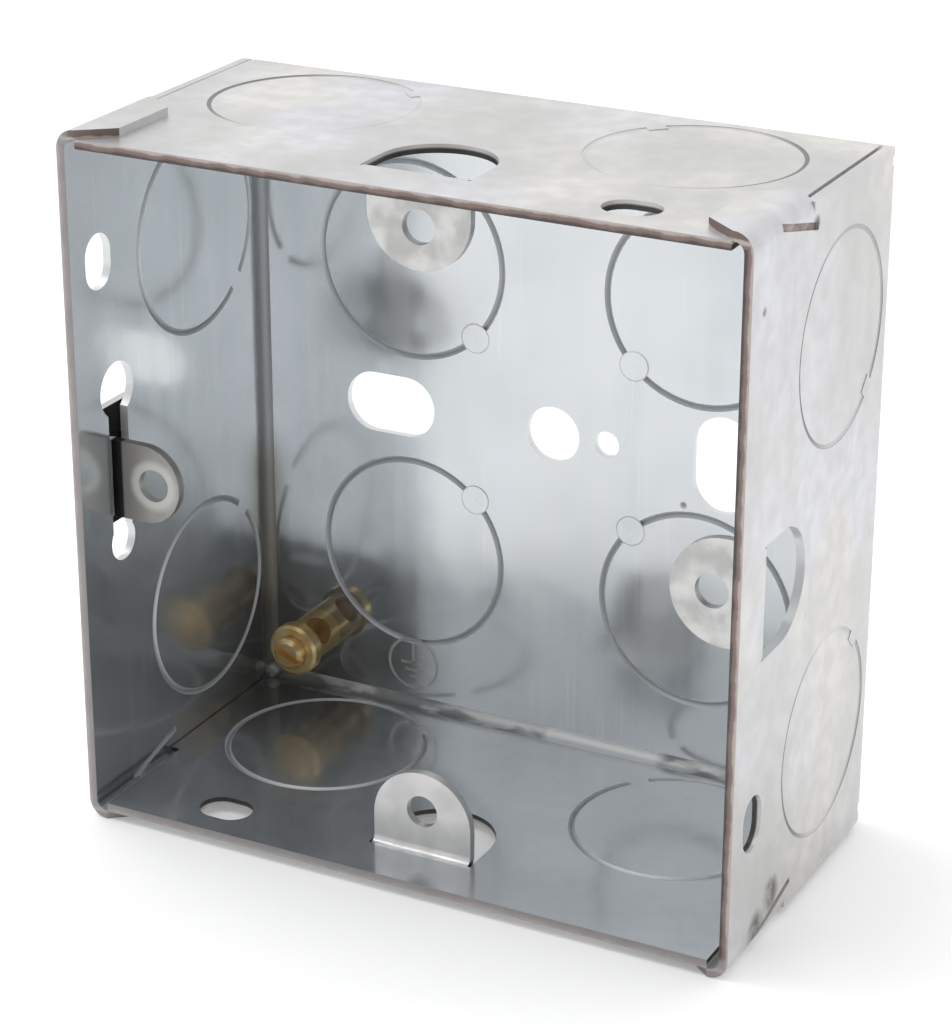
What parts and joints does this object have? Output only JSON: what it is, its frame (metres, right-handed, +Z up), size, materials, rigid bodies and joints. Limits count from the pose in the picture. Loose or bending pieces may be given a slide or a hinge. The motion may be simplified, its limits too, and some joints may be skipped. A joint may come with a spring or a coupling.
{
  "type": "switch box",
  "caption": "Open square flush box of folded galvanised sheet steel with scored knockouts, inward fixing lugs, one of them adjustable, and a brass earth terminal.",
  "frame": {"origin": "centre of the back's outer face, where it lies against the wall", "axes": "+X to the right seen from the open front, +Y from the open front to the back, out of the back's outer face, +Z up"},
  "size_m": [0.0721, 0.0355, 0.0728],
  "materials": {
    "zinc_steel": "galvanised, slightly mottled, half gloss",
    "brass": "turned, dulled"
  },
  "bodies": {
    "box": {"box_shell": "zinc_steel", "earth_terminal": "brass"},
    "sliding_lug": {"adjustable_lug": "zinc_steel"},
    "clamp_screw": {"earth_screw": "brass"}
  },
  "joints": [
    {"name": "lug_slide", "type": "slide", "parent": "box", "child": "sliding_lug", "axis": [0, 0, 1], "range_m": [-0.0025, 0.0045]},
    {"name": "screw_turn", "type": "hinge", "parent": "box", "child": "clamp_screw", "pos_m": [-0.028, -0.007, -0.028], "axis": [0, 1, 0], "continuous": true}
  ]
}
